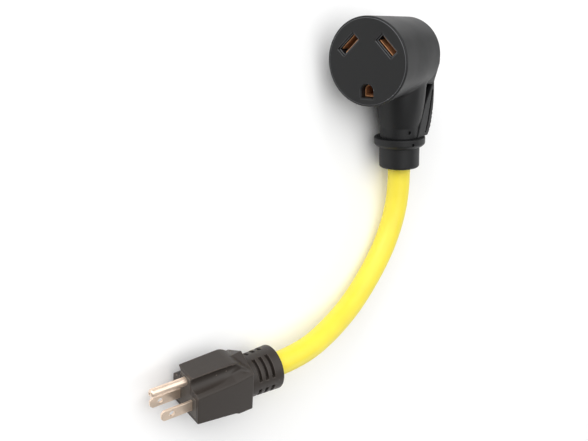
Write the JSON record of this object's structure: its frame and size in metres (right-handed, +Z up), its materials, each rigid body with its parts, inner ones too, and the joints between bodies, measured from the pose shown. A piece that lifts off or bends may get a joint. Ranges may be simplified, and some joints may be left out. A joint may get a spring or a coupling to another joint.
{
  "type": "power adapter dogbone",
  "caption": "Short dogbone power adapter: a round angled 30 amp trailer socket with a pull handle, a stout yellow cord and a three-prong household plug.",
  "frame": {"origin": "centre of the socket face", "axes": "+Z up from the table the adapter lies on; +X the way the cord leaves the socket head; the plug's prongs point along -Y, dipped 3 degrees; the socket face looks along -Y, lifted 17.8 degrees"},
  "size_m": [0.2024, 0.227, 0.0611],
  "materials": {
    "head_pvc": "fine matt moulded soft PVC",
    "insert_nylon": "fine matt moulded nylon",
    "carrier_nylon": "plain moulded nylon",
    "inner_mould": "plain moulded filler",
    "cord_jacket": "smooth satin jacket",
    "insulation_black": "smooth",
    "insulation_white": "smooth",
    "insulation_green": "smooth",
    "strand_copper": "bright stranded copper",
    "contact_bronze": "stamped bronze, dull",
    "plug_pvc": "fine matt moulded soft PVC",
    "bridge_nylon": "plain moulded nylon",
    "prong_plated": "stamped and nickel plated, satin"
  },
  "bodies": {
    "root": {"head_overmould": "head_pvc", "socket_insert": "insert_nylon", "contact_carrier": "carrier_nylon", "head_inner_mould": "inner_mould", "collar_sleeve": "head_pvc", "pull_handle": "head_pvc", "head_jacket_end": "cord_jacket", "head_wire_strands": "strand_copper", "neutral_socket_contact": "contact_bronze", "hot_socket_contact": "contact_bronze", "ground_socket_contact": "contact_bronze", "head_white_wire": "insulation_white", "head_black_wire": "insulation_black", "head_green_wire": "insulation_green", "cord": "cord_jacket", "plug_body": "plug_pvc", "plug_bridge": "bridge_nylon", "plug_inner_mould": "inner_mould", "plug_strain_relief": "plug_pvc", "plug_jacket_end": "cord_jacket", "plug_wire_strands": "strand_copper", "neutral_blade": "prong_plated", "hot_blade": "prong_plated", "ground_pin": "prong_plated", "plug_white_wire": "insulation_white", "plug_black_wire": "insulation_black", "plug_green_wire": "insulation_green"}
  },
  "joints": []
}
